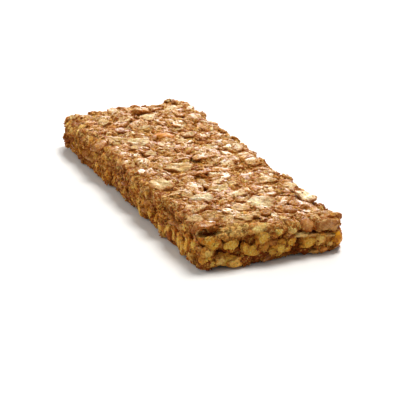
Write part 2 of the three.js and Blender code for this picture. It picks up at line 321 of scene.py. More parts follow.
# Smaller hollows between crisps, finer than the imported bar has.
hollows = notches + byFace(gapKeys, {
    "near": (
        ((4.7, 1.9), (2.8, 1.7, 3)),
        ((-6.3, 3), (1.7, 1.5, 2.6)),
        ((10.6, 5.6), (2.4, 1, 2.6)),
        ((-13.2, 4), (1.8, 1.2, 2.4)),
        ((-2.3, 4.6), (2.4, 1.4, 2.6)),
    ),
    "top": (
        ((24.7, 1.3), (3, 2.4, 2)),
        ((-34.9, 11.1), (5, 3, 2)),
        ((-41.6, 1.3), (2.6, 6, 2)),
        ((-16.2, -16.4), (3, 4, 2.4)),
    ),
    "left": (
        ((42, 6.6), (1.6, 2.4, 2.6)),
        ((35, 5.6), (1.4, 3, 2.4)),
        ((21.5, 5), (1.4, 3.4, 2.4)),
    ),
})

# The baked mass between the flakes: syrup and crumbs, as relief on the core. Sizes in mm.
mass = {
    "cell": 0.4,
    "sink": {"top": 0.05, "cut": 0.35},
    "lump": {"wide": 3.4, "high": 0.35},
    "crumbs": (
        {"wide": 1.9, "high": 0.5, "level": 0.55, "tone": 0.6, "shift": 0},
        {"wide": 0.85, "high": 0.22, "level": 0.5, "tone": 0.4, "shift": 40},
    ),
    "pit": {"wide": 2.6, "above": 0.42, "deep": 1.1, "steep": 3, "shift": 17},
    "base": {"above": 0.22, "pit": 0.5, "most": 1, "lift": 0.2},
}


# Points as seen from the middle of a gap, how far in from its rim each is, from 0 to 1, half the gap's
# depth, and a function that takes such points back to their places on the bar.
def gapView(gap, points):
    spot, frames = faceFrames(gap["face"], *gap["at"])
    local = (points - spot) @ frames[0]
    wide, tall, deep = gap["size"]
    share = np.clip(1 - (2 * local[:, 0] / wide) ** 2 - (2 * local[:, 1] / tall) ** 2, 0, 1)
    return local, share, deep / 2, lambda there: there @ frames[0].T + spot


# How far the mass stands out from the slab at each point, and the crumb tone there.
def massRelief(points):
    relief = mass["lump"]["high"] * slabNoise(points / mass["lump"]["wide"])
    tone = np.zeros(len(points))
    for crumb in mass["crumbs"]:
        distance, ownTone = crumbNoise(points / crumb["wide"] + crumb["shift"])
        relief += crumb["high"] * (crumb["level"] - distance)
        tone += crumb["tone"] * ownTone
    pit = mass["pit"]
    depth = slabNoise(points / pit["wide"] + pit["shift"]) - pit["above"]
    relief -= pit["deep"] * np.clip(depth * pit["steep"], 0, 1)
    for gap in gaps + hollows:
        local, hole, deep, _ = gapView(gap, points)
        relief -= deep * np.sqrt(hole * (np.abs(local[:, 2]) < deep))
    return relief - between(mass["sink"].values(), cutShare(points)), tone


# Pushes what lies in the notch back to its inner wall.
def sunk(points):
    for notch in notches:
        local, hole, deep, back = gapView(notch, points)
        wall = -deep * np.sqrt(hole)
        outside = local[:, 2] - wall
        inside = (hole > 0) & (np.abs(local[:, 2]) < deep + notchDepth["reach"]) & (outside > 0)
        local[:, 2] = np.where(inside, wall + notchDepth["kept"] * outside * (1 - hole), local[:, 2])
        points = np.where(inside[:, None], back(local), points)
    return points


def placesOf(bm):
    return np.array([v.co for v in bm.verts])


def moveTo(bm, places):
    for v, place in zip(bm.verts, places):
        v.co = place


def makeObject(name, mesh, finish, smooth=True):
    made = bpy.data.objects.new(name, mesh)
    bpy.context.scene.collection.objects.link(made)
    mesh.materials.append(finish(name))
    if smooth:
        mesh.shade_smooth()
    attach(made, "root")
    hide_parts("bar")


def addValues(mesh, name, values, kind="FLOAT"):
    key = "value" if kind == "FLOAT" else "vector"
    mesh.attributes.new(name, kind, "POINT").data.foreach_set(key, np.ravel(values).astype(np.float32))


cutFade = {"below": 0.3, "over": 2}


# How much a point belongs to the cut faces and the base: 0 on the top, 1 a little below it.
def cutShare(points):
    x, y, z = points.T
    return np.clip((thickness * cornerMix(x, y, "rise") - z - cutFade["below"]) / cutFade["over"], 0, 1)


def makeMass(name, finish):
    sizes = (slab["length"], slab["width"], thickness)
    bm = bmesh.new()
    bmesh.ops.create_cube(bm, size=1)
    bmesh.ops.scale(bm, vec=sizes, verts=bm.verts)
    for axis, size in enumerate(sizes):
        edges = [e for e in bm.edges if abs(e.verts[0].co[axis] - e.verts[1].co[axis]) > size / 2]
        bmesh.ops.subdivide_edges(bm, edges=edges, cuts=round(size / mass["cell"]) - 1, use_grid_fill=True)
    plain = placesOf(bm) + (0, 0, halfZ)
    places = slabSurface(plain)
    moveTo(bm, places)
    bm.normal_update()
    outwards = np.array([v.normal for v in bm.verts])
    relief, tone = massRelief(places)
    onBase = plain[:, 2] < mass["cell"] / 2
    moved = places + outwards * relief[:, None]
    base = mass["base"]
    baseZ = np.clip(base["above"] - base["pit"] * relief, baseGap, base["most"])
    moved[:, 2] = np.where(onBase, baseZ, np.maximum(moved[:, 2], baseGap))
    moveTo(bm, moved * mm)
    mesh = bpy.data.meshes.new(name)
    bm.to_mesh(mesh)
    bm.free()
    addValues(mesh, "tone", tone)
    addValues(mesh, "lift", np.where(onBase, base["lift"], relief))
    addValues(mesh, "cut", cutShare(moved))
    makeObject(name, mesh, finish)


# The relief of each face, kept on a grid as pieces are laid, so that the next ones rest on them.
class Relief:
    cell = 0.4
    fewest = 6  # cells under a piece for it to rest on
    steepest = 0.4
    share = 80  # percent of the cells that lie below it

    def __init__(self, face):
        reach, low, high = faces[face]["reach"]
        self.a = np.arange(-reach, reach, self.cell)
        self.b = np.arange(low, high, self.cell)
        along, up = np.meshgrid(self.a, self.b, indexing="ij")
        at, _ = faceFrames(face, along.ravel(), up.ravel())
        self.height = massRelief(at)[0].reshape(along.shape)
        self.sense = -1 if face in ("right", "far", "base") else 1

    def footprint(self, a, b, half, turn):
        reach = max(half)
        rows = slice(*np.searchsorted(self.a, (a - reach, a + reach)))
        columns = slice(*np.searchsorted(self.b, (b - reach, b + reach)))
        da = (self.a[rows, None] - a) * self.sense
        db = self.b[None, columns] - b
        u = da * math.cos(turn) + db * math.sin(turn)
        v = db * math.cos(turn) - da * math.sin(turn)
        away = (u / half[0]) ** 2 + (v / half[1]) ** 2
        return (rows, columns), u, v, away

    # The height and the slopes at which a flat piece comes to rest.
    def rest(self, a, b, half, turn):
        window, u, v, away = self.footprint(a, b, half, turn)
        under = away < 1
        if np.count_nonzero(under) < self.fewest:
            return self.height[window].mean() if away.size else 0, 0, 0
        height = self.height[window][under]
        terms = np.stack((np.ones(len(height)), u[under], v[under]), axis=1)
        plane = np.linalg.lstsq(terms, height, rcond=None)[0]
        high = np.percentile(height - terms @ plane, self.share)
        return plane[0] + high, *np.clip(plane[1:], -self.steepest, self.steepest)

    # Raises the relief by a piece whose top is a flat ellipsoid of the given depth.
    def stamp(self, a, b, half, turn, top, depth, slopes=(0, 0)):
        window, u, v, away = self.footprint(a, b, half, turn)
        surface = top + slopes[0] * u + slopes[1] * v - depth * (1 - np.sqrt(np.maximum(1 - away, 0)))
        below = self.height[window]
        self.height[window] = np.where(away < 1, np.maximum(below, surface), below)


# A triangle's corners from the lowest on.
def fromLowest(corners):
    start = corners.index(min(corners))
    return corners[start:] + corners[:start]


# A shape's points, triangles and values for each point, to be repeated in a heap. The triangles are
# sorted, because triangulate gives them in another order each time.
def shapeOf(bm, places, **values):
    moveTo(bm, places)
    bmesh.ops.triangulate(bm, faces=bm.faces)
    bm.verts.index_update()
    shape = {
        "points": placesOf(bm),
        "faces": np.array(sorted(fromLowest([v.index for v in f.verts]) for f in bm.faces)),
        **values,
    }
    bm.free()
    return shape


flake = {
    "fine": (32, 12),
    "plain": (18, 8),
    "small": (12, 6),
    "crown": 0.66,
    "kinds": 14,
    "waves": (0.09, 0.07),
    "fray": ((1.6, 0.16), (4, 0.096)),  # how fine, and how far
    "fringe": {"count": 9, "long": 0.09},
    "notch": {"deep": 0.3, "wide": 0.28},
    "crease": {"deep": 0.3, "wide": 0.16},
    "broken": {"edges": 2, "at": (0.3, 0.42), "sharp": 0.92},
    "rough": ((4.5, 3.1, 0.26), (9, 1.3, 0.182)),  # how fine, its shift from seed to seed, and how high
    "bend": 0.3,
    "twist": 0.7,
    "fold": 0.25,
}


# A rolled oat flake one unit long, wide and thick: an uneven, creased, frayed and dished disc.
def flakeShape(seed, sides, rings):
    draw = np.random.default_rng(seed)
    phase, notchAt, creaseAt = draw.uniform(0, 2 * math.pi, 3)
    bend, twist, fold = draw.uniform(-1, 1, 3)
    bm = bmesh.new()
    bmesh.ops.create_uvsphere(bm, u_segments=sides, v_segments=rings, radius=1)
    ball = placesOf(bm)
    angle = np.arctan2(ball[:, 1], ball[:, 0])
    rim = np.hypot(ball[:, 0], ball[:, 1]) ** flake["crown"]
    wide, narrow = flake["waves"]
    edge = 1 + wide * np.sin(2 * angle + phase) + narrow * np.sin(3 * angle - phase)
    around = np.stack((np.cos(angle) * 2, np.sin(angle) * 2, np.full(len(angle), seed * 1.7)), axis=1)
    for count, high in flake["fray"]:
        edge += high * slabNoise(around * count)
    gap = np.abs((angle - notchAt + math.pi) % (2 * math.pi) - math.pi)
    notch, fringe = flake["notch"], flake["fringe"]
    edge -= notch["deep"] * np.exp(-((gap / notch["wide"]) ** 2)) * (0.5 + 0.5 * fold)
    strands = np.stack((angle * fringe["count"], np.full(len(angle), seed * 2.3), ball[:, 2]), axis=1)
    edge += fringe["long"] * slabNoise(strands) * rim**6
    x = np.cos(angle) * rim * edge / 2
    y = np.sin(angle) * rim * edge / 2
    z = np.sign(ball[:, 2]) * np.abs(ball[:, 2]) ** flake["crown"] / 2
    broken = flake["broken"]
    for _ in range(broken["edges"]):
        way = draw.uniform(0, 2 * math.pi)
        over = x * math.cos(way) + y * math.sin(way) - draw.uniform(*broken["at"])
        over = np.maximum(over, 0) * broken["sharp"]
        x, y = x - over * math.cos(way), y - over * math.sin(way)
    across = y * 2 - 0.2 * math.cos(creaseAt)
    crease = flake["crease"]
    z -= crease["deep"] * np.exp(-((across / crease["wide"]) ** 2)) * (1 - rim**4) * (z > 0)
    rough = np.zeros(len(x))
    for count, shift, high in flake["rough"]:
        rough += high * slabNoise(np.stack((x * count, y * count, z + seed * shift), axis=1))
    z += rough + flake["bend"] * bend * (4 * x * x - 0.4)
    z += flake["twist"] * twist * x * y + flake["fold"] * fold * (4 * y * y - 0.3)
    return shapeOf(bm, np.stack((x, y, z), axis=1), rim=rim)


crisp = {
    "kinds": 7,
    "detail": 4,
    "swell": ((3.1, 5.3, 0.34), (8, 1, 0.16)),  # how fine, its shift from seed to seed, and how high
    "pore": {"wide": 0.2, "deep": 0.17, "reach": 0.5, "steep": 1.5},
    "cut": {"at": 0.34, "left": 0.35, "skinFrom": 0.2, "skinOver": 0.16},
    "rough": {"fine": 22, "high": 0.035},
}


# A puffed crisp one unit across: a bumpy, porous ball. A cut one is sliced flat, and shows its inside.
def crispShape(seed, cut, detail):
    bm = bmesh.new()
    bmesh.ops.create_icosphere(bm, subdivisions=detail, radius=0.5)
    ball = placesOf(bm)
    swell = np.ones(len(ball))
    for count, shift, high in crisp["swell"]:
        swell += high * slabNoise(ball * count + seed * shift)
    points = ball * swell[:, None]
    skin = np.ones(len(points))
    if cut:
        sliced = crisp["cut"]
        above = points[:, 2] - sliced["at"]
        inside = above > 0
        middle = np.hypot(points[:, 0], points[:, 1])
        skin = np.where(inside, np.clip((middle - sliced["skinFrom"]) / sliced["skinOver"], 0, 1), 1)
        points[:, 2] = np.where(inside, sliced["at"] + above * sliced["left"], points[:, 2])
    pore = crisp["pore"]
    pores, _ = crumbNoise(points / pore["wide"] + seed * 2.9)
    hollow = np.clip(1 - pores / pore["reach"], 0, 1) ** pore["steep"]
    rough = slabNoise(points * crisp["rough"]["fine"] + seed)
    deep = pore["deep"] * hollow * (1 - 0.3 * skin) - crisp["rough"]["high"] * rough
    return shapeOf(bm, points - ball / 0.5 * deep[:, None], rim=skin, pore=hollow)


lump = {"kinds": 8, "clumpKinds": 4, "bitKinds": 4, "crumbs": ((5, 0.9), (11, 0.5), (22, 0.3))}


# A crumb or a lump of crumbs one unit across. Finer ones have finer crumbs too.
def lumpShape(seed, detail, rough):
    bm = bmesh.new()
    bmesh.ops.create_icosphere(bm, subdivisions=detail, radius=0.5)
    ball = placesOf(bm)
    swell = 1 + rough * slabNoise(ball * 3.3 + seed * 7.7)
    for count, high in lump["crumbs"][:max(detail - 2, 0)]:
        crumbs, _ = crumbNoise(ball * count + seed * 3.3)
        swell += rough * (0.5 - crumbs) * high
    return shapeOf(bm, ball * swell[:, None], rim=np.full(len(ball), 0.5))


def turnMatrix(angle, axis):
    return np.array(Matrix.Rotation(angle, 3, axis))


# A face's frame tipped up, for a piece that is edge on in it.
def tippedUp(frameThere):
    along, up, out = frameThere.T
    return np.stack((along, -out, up), axis=1)


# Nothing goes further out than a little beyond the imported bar, or below its base.
outerLow = np.array(cadLow) / mm - (0.8, 0.6, -baseGap)
outerHigh = np.array(cadHigh) / mm + (0.6, 0.6, 0.1)


# Pieces of one kind, gathered one by one and joined into one mesh.
class Heap:
    def __init__(self, seed):
        self.draw = np.random.default_rng(seed)
        self.points, self.faces, self.count = [], [], 0
        self.values = {"rim": [], "tone": [], "hue": [], "lift": [], "pore": [], "cut": []}
        self.grain = []

    def add(self, shape, size, basis, origin, spot, out, tone, hue):
        local = shape["points"] * size
        placed = local @ basis.T + origin
        placed += np.maximum(outerLow - placed.min(axis=0), 0)
        placed -= np.maximum(placed.max(axis=0) - outerHigh, 0)
        self.faces.append(shape["faces"] + self.count)
        self.count += len(placed)
        self.points.append(placed)
        self.values["rim"].append(shape["rim"])
        self.values["pore"].append(shape.get("pore", np.zeros(len(placed))))
        self.values["tone"].append(np.full(len(placed), tone))
        self.values["hue"].append(np.full(len(placed), hue))
        self.values["lift"].append((placed - spot) @ out)
        self.values["cut"].append(cutShare(placed))
        self.grain.append(local + self.draw.uniform(0, 400, 3))

    def make(self, name, finish, slot, smooth=True):
        mesh = bpy.data.meshes.new(name)
        mesh.from_pydata(sunk(np.concatenate(self.points)) * mm, [], np.concatenate(self.faces))
        for key, parts in self.values.items():
            addValues(mesh, key, np.concatenate(parts))
        addValues(mesh, "grain", np.concatenate(self.grain), "FLOAT_VECTOR")
        print(name, "of", len(self.points), "pieces,", len(mesh.polygons), "triangles")
        makeObject(name, mesh, finish, smooth)


# How pieces are spread over each face by a jittered grid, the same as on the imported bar, and how many
# more random draws that bar takes for the shape of each.
kinds = {
    "flake": {"length": (5.4, 7.8), "width": (4, 5.4), "height": (1.2, 1.6), "draws": 2},
    "crisp": {"length": (4, 5.4), "width": (2.9, 3.6), "height": (2.7, 3.3), "draws": 12},
}
spread = {
    "top": {"pitch": (6.1, 5.3), "flakes": 0.9, "lean": 14, "proud": (0.45, 0.95), "seed": 11},
    "left": {"pitch": (5.6, 3.9), "flakes": 0.5, "lean": 28, "proud": (0.5, 1), "seed": 23},
    "right": {"pitch": (5.6, 3.9), "flakes": 0.5, "lean": 28, "proud": (0.5, 1), "seed": 37},
    "near": {"pitch": (5, 3.9), "flakes": 0.35, "lean": 28, "proud": (0.5, 1), "seed": 41},
    "far": {"pitch": (5, 3.9), "flakes": 0.35, "lean": 28, "proud": (0.5, 1), "seed": 59},
}
rimMargin = {"top": 2.2, "cut": 1}
jitter = 0.5
stagger = 0.5  # how far every other row is shifted
clear = 0.62

# Listed pieces, the same as on the imported bar: the face, the kind, the place along and up it,
# the size, the turn and lean in degrees, how far it stands proud, its tone from browned to pale and its
# hue from straw to rosy.
chosenRows = {
    "top": (
        ("flake", (35.7, 2.8), (7, 5.8, 1.8), 80, 18, 1.1, 1, 0),
        ("flake", (40.4, 7.4), (8, 3.6, 2), 70, 12, 1.2, 0.22, 0),
        ("flake", (40.8, -11.8), (7.4, 4, 2), 84, 10, 1.5, 0.62, 0.5),
        ("flake", (29.6, -9.6), (6.2, 3.6, 1.9), 84, 14, 1.3, 1, 0.7),
        ("flake", (17.2, -15), (7, 5, 1.6), 20, 12, 1.1, 0.9, 0.5),
        ("flake", (5, -5.3), (7, 4.6, 1.8), 70, 12, 1.1, 0.85, 0),
        ("nut", (11, 3.6), (6, 3.6, 3), 62, 0, 1.1, 0.6, 0.4),
        ("fruit", (-19.8, 0.6), (6.2, 4.2, 3), 76, 0, 1.3, 0.4, 0.3),
        ("nut", (-14.3, 8.8), (3.8, 3.4, 3), 30, 0, 1.2, 0.15, 0.8),
        ("flake", (-17, -7.3), (7.2, 4.4, 1.7), 70, 12, 1.1, 0.95, 0),
        ("flake", (34.8, 15.6), (6.4, 4.2, 1.5), 10, 6, 1.0, 0.98, 0.6),
        ("flake", (45.8, 15.6), (7.2, 4.2, 2.4), 86, 0, 0.5, 0.3, 0.1),
    ),
    "near": (
        ("nut", (8.9, 8.2), (3.6, 3.3, 3.3), 0, 0, 1.3, 0.35, 0.3),
        ("fruit", (16.6, 3.4), (3.8, 3.4, 3.4), 80, 0, 1.3, 0.95, 0.2),
        ("crisp", (-14.8, 6), (3.5, 3.2, 3.3), 20, 0, 1.4, 0.6, 0.1),
        ("crisp", (-10.7, 5.6), (3.5, 3.2, 3.3), 50, 0, 1.5, 0.8, 0.1),
        ("lump", (-9.6, 8.4), (7.2, 3.4, 3.6), 8, 0, 1.3, 1, 0.5),
        ("crisp", (-2.9, 6.4), (3.4, 3.1, 3.3), 10, 0, 1.6, 0.7, 0),
        ("lump", (0.4, 8.2), (5.6, 3.1, 3.3), -6, 0, 1.1, 0.6, 0.6),
        ("crisp", (1.6, 3.2), (3.8, 3.4, 3.3), 70, 0, 1.5, 1, 0.1),
        ("crisp", (4.6, 4.4), (3.7, 2.9, 3), 60, 0, 1, 0.5, 0.1),
        ("crisp", (9.8, 3.4), (5.2, 3.2, 3.1), 12, 0, 1.1, 0.75, 0.1),
        ("crisp", (-16.4, 3.4), (3.6, 3.2, 3.1), 80, 0, 1.1, 0.7, 0.1),
        ("crisp", (-11.6, 1.8), (5.8, 3, 3), -6, 0, 1, 0.8, 0.1),
    ),
    "right": (
        ("fruit", (45.6, 2.6), (4.4, 3.6, 3.4), 84, 0, 1.5, 0.95, 0),
    ),
    "left": (
        ("crisp", (35.4, 2.4), (4.4, 3.1, 3.1), 82, 0, 1.3, 0.7, 0.1),
        ("crisp", (40.6, 4), (4.6, 3.1, 3.1), 78, 0, 1.2, 0.6, 0.1),
    ),
}

# Finer pieces, listed one by one, laid over the imported ones.
detailRows = {
    "near": (
        ("crisp", (-16.8, 4.3), (2.5, 2.3, 2.2), 10, 0, 1.5, 1, 0.8),
        ("crisp", (-16, 7.1), (4.2, 3, 3), -28, 0, 1.3, 0.3, 0),
        ("lump", (-12.6, 8), (3.4, 2.4, 3), 10, 0, 1.6, 0.9, 0.4),
        ("crisp", (-13.6, 2.1), (2.9, 2.5, 2.4), 20, 0, 1.5, 0.9, 0.9),
        ("crisp", (-10, 1.4), (3.5, 2.5, 2.4), 5, 0, 1.5, 0.8, 0.5),
        ("crisp", (-7.3, 4.3), (1.9, 2.5, 2), 0, 0, 1.1, 0.9, 0),
        ("crisp", (-3.4, 8.7), (6, 2.6, 2.8), 4, 0, 1.1, 0.6, 0.6),
        ("crisp", (3.4, 2.9), (2.3, 2.2, 2), 0, 0, 1, 0.3, 0),
        ("lump", (4.6, 8), (3.4, 3, 3), 20, 0, 1.3, 0.6, 0.3),
        ("crisp", (0.8, 7.8), (1.8, 1.9, 2), 0, 0, 1.7, 0.5, 0),
        ("crisp", (4.3, 7.7), (1.9, 1.8, 2), 0, 0, 2, 0.75, 0.6),
        ("flake", (7, 6), (4.8, 3, 1.3), 0, 8, 1.3, 1, 0),
        ("flake", (9.8, 5.2), (4.2, 3, 1), 0, -6, 1, 0.9, 0.2),
        ("flake", (14, 7.6), (7.2, 4.6, 3.2), 0, -8, 1.7, 0.8, 0.1),
        ("crisp", (12.4, 3.9), (3, 2.9, 2.6), 30, 0, 1.4, 1, 0.9),
        ("flake", (14.4, 4.9), (4.6, 3, 0.9), 0, 10, 1.2, 1, 0.1),
        ("crisp", (14.6, 2.4), (2, 1.8, 1.8), 0, 0, 1, 1, 1),
        ("nut", (12.9, 1.3), (2.6, 1.9, 1.9), 0, 0, 1.3, 0.6, 0),
        ("flake", (11, 0.8), (2.8, 2.4, 0.9), 0, 0, 1.2, 0.9, 0.2),
        ("lump", (-4.3, 1.4), (6, 2.8, 2.6), 5, 0, 0.5, 0.15, 1),
        ("lump", (-1.6, 2.2), (3, 2.4, 2.4), 40, 0, 0.4, 0.1, 1),
        ("lump", (8.4, 0.9), (4.6, 2, 2), 0, 0, 0.5, 0.15, 0.8),
        ("lump", (-16.4, 1.2), (3, 2.2, 2.2), 0, 0, 0.9, 0, 0),
        ("crisp", (-15.6, 1.8), (1.8, 1.7, 1.8), 0, 0, 1.2, 0.8, 0.4),
    ),
    "left": (
        ("crisp", (44.4, 4.8), (3.2, 3.4, 3), 90, 0, 1.2, 1, 0.1),
        ("crisp", (38.6, 2.2), (3.2, 3, 2.8), 80, 0, 1.5, 0.85, 0.2),
        ("crisp", (28.6, 3.2), (3.6, 2.8, 2.6), 65, 0, 1, 0.7, 0.5),
        ("crisp", (32.6, 3.4), (4, 2.7, 2.6), 88, 0, 1.1, 0.6, 0.3),
        ("crisp", (38.4, 7), (3, 2.6, 2.6), 20, 0, 0.9, 0.7, 0.4),
        ("crisp", (24.6, 2.2), (3.6, 2.8, 2.6), 115, 0, 1.1, 0.8, 0.3),
        ("crisp", (18.4, 3.6), (3.4, 2.9, 2.6), 60, 0, 1.2, 0.7, 0.1),
        ("crisp", (11.6, 2.2), (3.6, 2.8, 2.6), 130, 0, 1.1, 0.8, 0.2),
    ),
    "top": (
        ("flake", (46, -15.6), (5.6, 3, 1.3), 84, 8, 1.1, 0.35, 0.6),
        ("flake", (44, -5.2), (3.9, 2.7, 1.2), 70, 16, 1, 0.8, 0.3),
        ("flake", (38, -3.4), (4.6, 3.2, 1.2), 76, 14, 0.9, 0.75, 0),
        ("flake", (33, -0.6), (3.9, 2.6, 1.1), 80, 10, 0.8, 0.7, 1),
        ("flake", (24, -2.2), (5.8, 4, 1.3), 75, 12, 1, 0.8, 0.2),
        ("flake", (29.2, -0.5), (5.4, 2.7, 1.2), 108, 12, 1, 0.88, 0.3),
        ("flake", (21, 2.3), (2.7, 2, 1), 70, 10, 0.8, 0.85, 0.6),
        ("nut", (25.4, 6.6), (5, 3.4, 2.4), 75, 0, 0.9, 0.4, 1),
        ("flake", (21.3, 11.3), (6.4, 3.1, 1.4), 76, 12, 1, 0.72, 0),
        ("flake", (26.5, 15.2), (4.3, 2.9, 1.2), 68, 8, 0.9, 0.88, 0.5),
        ("nut", (28, 9.2), (3.3, 2.3, 2.1), 75, 0, 0.9, 0.75, 0),
        ("flake", (44.6, 5.4), (4.2, 2, 1), 75, 8, 0.8, 0.4, 0.5),
        ("flake", (36.4, -9), (4.7, 2.3, 1.2), 80, 10, 0.8, 0.15, 0.8),
        ("flake", (18, -4.6), (4, 3, 1.2), 72, 10, 0.9, 0.65, 0.7),
        ("flake", (15.8, 0), (3.9, 2.7, 1.2), 80, 10, 0.9, 0.5, 1),
        ("flake", (33.6, 9.2), (5.4, 2.7, 1.2), 74, 8, 0.9, 0.7, 0.8),
        ("flake", (42, 1.4), (3.9, 2.3, 1.2), 78, 10, 0.9, 0.3, 0.7),
        ("flake", (43, -1.8), (2.5, 2.2, 1), 60, 14, 0.9, 0.8, 0),
        ("flake", (-17, 6.6), (3.3, 2.5, 1.1), 80, 16, 1.1, 0.9, 0.8),
        ("flake", (-13.2, 3.2), (3.9, 2.9, 1.2), 78, 12, 1, 0.85, 0.7),
        ("flake", (-13, -10), (3.7, 2.3, 1.1), 75, 8, 0.9, 0.8, 0),
        ("flake", (-7, -8), (4, 2.9, 1.2), 72, 12, 1, 0.85, 0.7),
        ("flake", (-0.3, -5.8), (3, 2.2, 1), 80, 14, 1, 0.9, 0.6),
        ("flake", (-38, -10), (4, 3.1, 1.2), 70, 10, 0.9, 0.8, 0.8),
        ("flake", (-34, 1.6), (3.5, 2.7, 1.1), 75, 12, 0.9, 0.85, 0.9),
        ("flake", (-2, 3.4), (3, 2.1, 1), 75, 10, 0.9, 0.75, 0.6),
        ("flake", (-5, 7.3), (3.3, 2.4, 1.1), 75, 10, 0.9, 0.8, 0.5),
    ),
}
pieceKeys = ("kind", "at", "size", "turn", "lean", "proud", "tone", "hue")
chosen = byFace(pieceKeys, chosenRows)
details = byFace(pieceKeys, detailRows)


# A seeded draw from 0 to 1.
def seededDraw(seed):
    state = [seed]

    def draw():
        state[0] = (state[0] * 1664525 + 1013904223) % 4294967296
        return state[0] / 4294967296

    return draw


# The pieces spread over one face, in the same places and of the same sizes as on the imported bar.
def spreadPieces(face):
    rule = spread[face]
    draw = seededDraw(rule["seed"])
    reach, low, high = faces[face]["reach"]
    margin = rimMargin["top" if face == "top" else "cut"]
    columns = math.floor(2 * (reach - margin) / rule["pitch"][0] + 0.5)
    rows = math.floor((high - low - 2 * margin) / rule["pitch"][1] + 0.5)
    taken = [c for c in chosen if c["face"] == face]
    pieces = []
    for i, j in product(range(columns), range(rows)):
        shift = (j % 2 - 0.5) * stagger
        a = -reach + margin + (i + 0.5 + shift + jitter * (draw() - 0.5)) / columns * 2 * (reach - margin)
        b = low + margin + (j + 0.5 + jitter * (draw() - 0.5)) / rows * (high - low - 2 * margin)
        kind = "flake" if draw() < rule["flakes"] else "crisp"
        size = tuple(between(kinds[kind][key], draw()) for key in ("length", "width", "height"))
        turn = 360 * draw()
        lean = rule["lean"] * (2 * draw() - 1)
        proud = between(rule["proud"], draw())
        if any(math.dist(c["at"], (a, b)) < clear * c["size"][0] for c in taken):
            continue
        for _ in range(kinds[kind]["draws"]):
            draw()
        pieces.append(dict(zip(pieceKeys, (kind, (a, b), size, turn, lean, proud)), face=face))
    return pieces


shapes = {
    "fineFlake": [flakeShape(seed + 90, *flake["fine"]) for seed in range(flake["kinds"])],
    "flake": [flakeShape(seed, *flake["plain"]) for seed in range(flake["kinds"])],
    "smallFlake": [flakeShape(seed + 50, *flake["small"]) for seed in range(flake["kinds"])],
    "crisp": [crispShape(seed, False, crisp["detail"]) for seed in range(crisp["kinds"])],
    "cutCrisp": [crispShape(seed + 20, True, crisp["detail"]) for seed in range(crisp["kinds"])],
    "puff": [crispShape(seed + 40, True, crisp["detail"] - 1) for seed in range(crisp["kinds"])],
    "crumb": [lumpShape(seed, 1, 0.9) for seed in range(lump["kinds"])],
    "lump": [lumpShape(seed + 30, 2, 0.6) for seed in range(lump["kinds"])],
    "clump": [lumpShape(seed + 60, 5, 0.42) for seed in range(lump["clumpKinds"])],
    "bit": [lumpShape(seed + 80, 4, 0.24) for seed in range(lump["bitKinds"])],
}
heapSeeds = {
    "topFlakes": 101,
    "cutFlakes": 102,
    "baseFlakes": 103,
    "crisps": 104,
    "lumps": 105,
    "crumbs": 108,
    "shards": 109,
    "fruitBits": 106,
    "nutBits": 107,
}
heaps = {name: Heap(seed) for name, seed in heapSeeds.items()}
reliefs = {face: Relief(face) for face in faces}
print("shapes and face reliefs ready")

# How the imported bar's pieces look here: flakes thinner than in the solid, with their tops in the same place.
packed = {"thin": 0.78, "edgeOnTurn": 0.12, "tone": (1.6, 2), "leastHalf": 0.6, "seed": 7}


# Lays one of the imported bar's pieces, flat on the top and edge on in a cut face.
def layPacked(piece, draw):
    face, kind = piece["face"], piece["kind"]
    spots, frames = faceFrames(face, *piece["at"])
    spot, frameThere = spots[0], frames[0]
    out = frameThere[:, 2]
    size = np.array(piece["size"], float)
    isFlake = kind == "flake"
    flat = face == "top" or not isFlake
    turn = math.radians(piece["turn"])
    tone = piece.get("tone", draw.beta(*packed["tone"]))
    hue = piece.get("hue", draw.uniform())
    if flat:
        basis = frameThere @ turnMatrix(turn, "Z")
        half = size[2] / 2
    else:
        basis = tippedUp(frameThere) @ turnMatrix(turn * packed["edgeOnTurn"], "Z")
        half = size[1] / 2
    basis = basis @ turnMatrix(math.radians(piece["lean"]), "X")
    reach = piece["proud"] - half
    if isFlake and flat:
        reach += size[2] * (1 - packed["thin"]) / 2
    if isFlake:
        size[2] *= packed["thin"]
    shape = {
        "flake": shapes["fineFlake" if "tone" in piece else "flake"],
        "crisp": shapes["crisp" if face == "top" else "cutCrisp"],
        "lump": shapes["clump"],
        "nut": shapes["bit"],
        "fruit": shapes["bit"],
    }[kind]
    heap = {
        "flake": heaps["topFlakes" if face == "top" else "cutFlakes"],
        "crisp": heaps["crisps"],
        "lump": heaps["lumps"],
        "nut": heaps["nutBits"],
        "fruit": heaps["fruitBits"],
    }[kind]
    heap.add(shape[draw.integers(len(shape))], size, basis, spot + out * reach, spot, out, tone, hue)
    a, b = piece["at"]
    if flat:
        reliefs[face].stamp(a, b, size[:2] / 2, turn, piece["proud"], half)
    else:
        edge = (size[0] / 2, max(size[2] / 2, packed["leastHalf"]))
        reliefs[face].stamp(a, b, edge, 0, piece["proud"], half)


